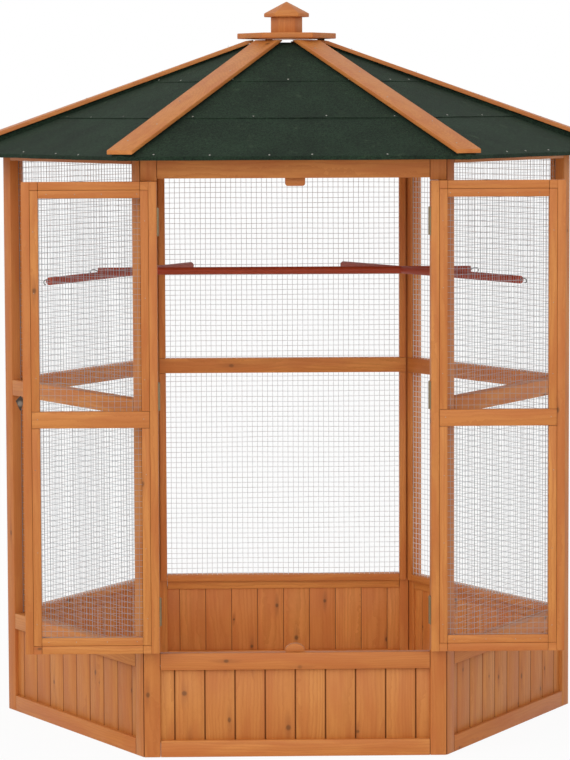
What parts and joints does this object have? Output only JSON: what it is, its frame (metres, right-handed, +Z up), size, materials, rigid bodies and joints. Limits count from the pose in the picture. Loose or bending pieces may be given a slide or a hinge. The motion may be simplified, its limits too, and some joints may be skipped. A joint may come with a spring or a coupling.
{
  "type": "outdoor aviary",
  "caption": "Hexagonal wooden outdoor aviary with wire mesh walls over a boarded base, fold-back mesh doors, round perches and a felted roof with a finial.",
  "frame": {"origin": "on the ground, in the middle of the hexagonal body", "axes": "+Z up, -Y out through the doorway, +X to the right for someone who faces the doorway"},
  "size_m": [1.4882, 1.3076, 1.6422],
  "materials": {
    "stained_fir": "honey-orange stain on planed fir, satin",
    "stained_fir_boards": "honey-orange stain on tongued and grooved fir, satin",
    "roof_ply": "plain boarding under the felt",
    "green_felt": "green mineral-faced bitumen felt, matt",
    "galvanised_wire": "galvanised wire",
    "zinc_hinge": "zinc-plated pressed steel",
    "dark_iron": "browned cast iron",
    "red_dowel": "red-brown stained hardwood dowel"
  },
  "bodies": {
    "aviary": {"front_frame": "stained_fir", "front_boards": "stained_fir_boards", "front_right_frame": "stained_fir", "front_right_boards": "stained_fir_boards", "front_right_mesh": "galvanised_wire", "rear_right_frame": "stained_fir", "rear_right_boards": "stained_fir_boards", "rear_right_mesh": "galvanised_wire", "back_frame": "stained_fir", "back_boards": "stained_fir_boards", "back_mesh": "galvanised_wire", "rear_left_frame": "stained_fir", "rear_left_boards": "stained_fir_boards", "rear_left_mesh": "galvanised_wire", "front_left_frame": "stained_fir", "front_left_boards": "stained_fir_boards", "front_left_mesh": "galvanised_wire", "door_stop_top": "stained_fir", "door_stop_bottom": "stained_fir", "left_door_low_hinge_post_leaf": "zinc_hinge", "left_door_mid_hinge_post_leaf": "zinc_hinge", "left_door_top_hinge_post_leaf": "zinc_hinge", "right_door_low_hinge_post_leaf": "zinc_hinge", "right_door_mid_hinge_post_leaf": "zinc_hinge", "right_door_top_hinge_post_leaf": "zinc_hinge", "perch_cross": "red_dowel", "perch_left": "red_dowel", "perch_right": "red_dowel", "roof_board_front": "roof_ply", "roof_felt_front": "green_felt", "roof_board_front_right": "roof_ply", "roof_felt_front_right": "green_felt", "roof_board_rear_right": "roof_ply", "roof_felt_rear_right": "green_felt", "roof_board_back": "roof_ply", "roof_felt_back": "green_felt", "roof_board_rear_left": "roof_ply", "roof_felt_rear_left": "green_felt", "roof_board_front_left": "roof_ply", "roof_felt_front_left": "green_felt", "hip_batten_right": "stained_fir", "hip_batten_rear_right": "stained_fir", "hip_batten_rear_left": "stained_fir", "hip_batten_left": "stained_fir", "hip_batten_front_left": "stained_fir", "hip_batten_front_right": "stained_fir", "finial_plate": "stained_fir", "finial_knob": "stained_fir"},
    "left_door": {"left_door_frame": "stained_fir", "left_door_mesh": "galvanised_wire", "left_door_low_hinge_door_leaf": "zinc_hinge", "left_door_mid_hinge_door_leaf": "zinc_hinge", "left_door_top_hinge_door_leaf": "zinc_hinge", "turn_button_screw": "dark_iron"},
    "right_door": {"right_door_frame": "stained_fir", "right_door_mesh": "galvanised_wire", "right_door_low_hinge_door_leaf": "zinc_hinge", "right_door_mid_hinge_door_leaf": "zinc_hinge", "right_door_top_hinge_door_leaf": "zinc_hinge"},
    "turn_button": {"turn_button": "dark_iron"}
  },
  "joints": [
    {"name": "left_door_hinge", "type": "hinge", "parent": "aviary", "child": "left_door", "pos_m": [-0.29, -0.57045, 0.7], "axis": [0, 0, 1], "range_deg": [0, 180]},
    {"name": "right_door_hinge", "type": "hinge", "parent": "aviary", "child": "right_door", "pos_m": [0.29, -0.57045, 0.7], "axis": [0, 0, -1], "range_deg": [0, 180]},
    {"name": "turn_button_pivot", "type": "hinge", "parent": "left_door", "child": "turn_button", "pos_m": [-0.5665, -0.57365, 0.7755], "axis": [0, 1, 0], "continuous": true}
  ]
}
